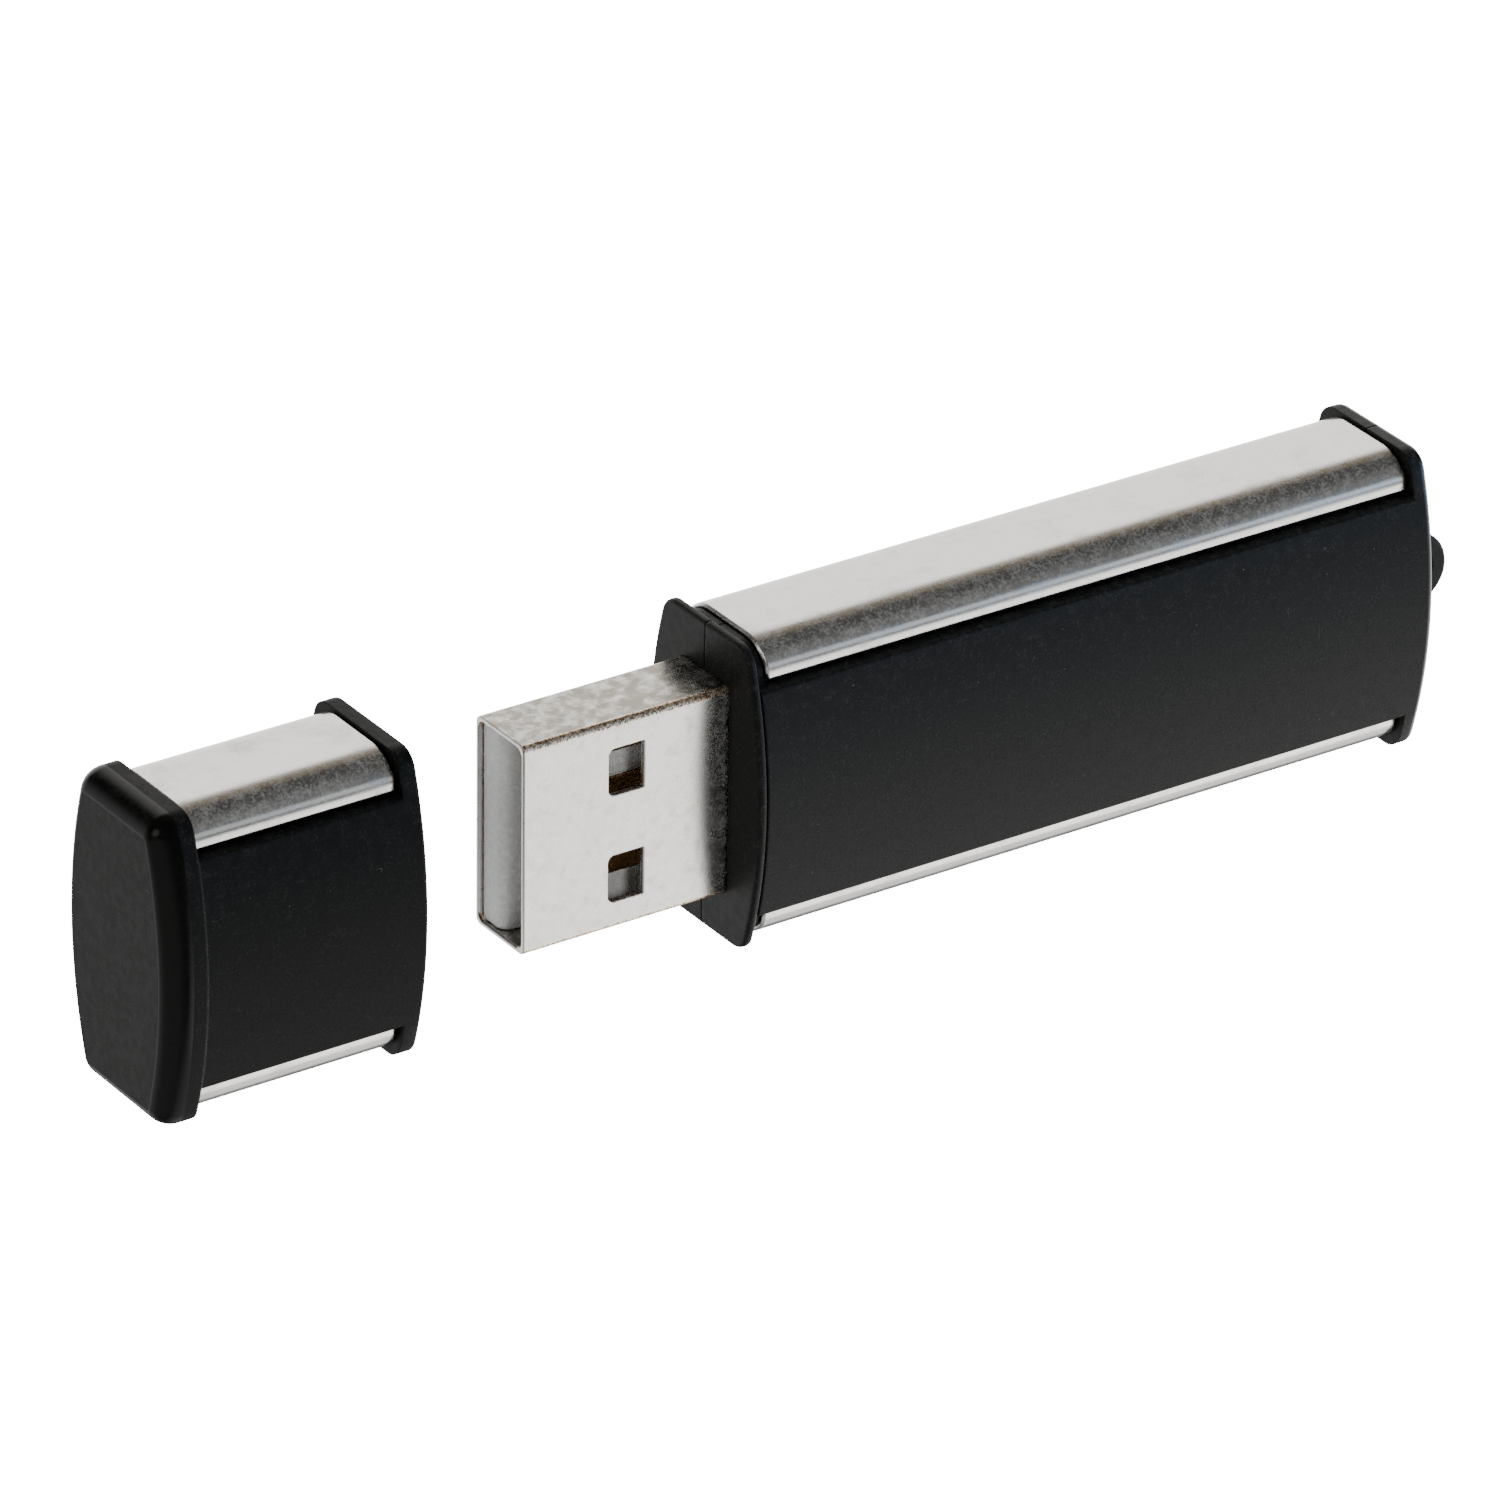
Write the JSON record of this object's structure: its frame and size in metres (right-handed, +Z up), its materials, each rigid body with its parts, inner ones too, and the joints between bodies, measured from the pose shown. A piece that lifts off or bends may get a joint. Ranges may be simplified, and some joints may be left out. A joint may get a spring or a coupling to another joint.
{
  "type": "usb flash drive",
  "caption": "USB flash drive: barrel-shaped black plastic body with bent steel bands on its narrow edges, a flat metal plug, a lanyard lug and a slide-on cap.",
  "frame": {"origin": "centre of the footprint of drive and loose cap, on the surface they stand on", "axes": "+X along the drive from the cap towards the lanyard lug, +Y across its thickness, +Z up across its width"},
  "size_m": [0.082, 0.0104, 0.0175],
  "materials": {
    "black_plastic": "finely textured black moulding",
    "cap_plastic": "finely textured black moulding with polished edges",
    "brushed_steel": "brushed along the drive",
    "plated_steel": "nickel plated",
    "white_insulator": "moulded white",
    "gold_contact": "gold plated",
    "solder_mask": "green solder mask",
    "chip_resin": "moulded resin",
    "crystal_can": "drawn metal can",
    "light_lens": "clear lens",
    "capacitor_ceramic": "fired ceramic",
    "resistor_ceramic": "fired ceramic"
  },
  "bodies": {
    "drive": {"housing_front": "black_plastic", "housing_back": "black_plastic", "top_band": "brushed_steel", "bottom_band": "brushed_steel", "plug_shell": "plated_steel", "plug_tongue": "white_insulator", "contact_power": "gold_contact", "contact_data_minus": "gold_contact", "contact_data_plus": "gold_contact", "contact_ground": "gold_contact", "circuit_board": "solder_mask", "memory_chip": "chip_resin", "controller_chip": "chip_resin", "crystal": "crystal_can", "voltage_regulator": "chip_resin", "activity_light": "light_lens", "capacitor_1": "capacitor_ceramic", "capacitor_2": "capacitor_ceramic", "capacitor_3": "capacitor_ceramic", "capacitor_4": "capacitor_ceramic", "resistor_1": "resistor_ceramic", "resistor_2": "resistor_ceramic", "resistor_3": "resistor_ceramic"},
    "cap": {"cap_shell": "cap_plastic", "cap_top_band": "brushed_steel", "cap_bottom_band": "brushed_steel"}
  },
  "joints": [
    {"name": "cap_slide", "type": "slide", "parent": "drive", "child": "cap", "axis": [1, 0, 0], "range_m": [0, 0.01985]}
  ]
}
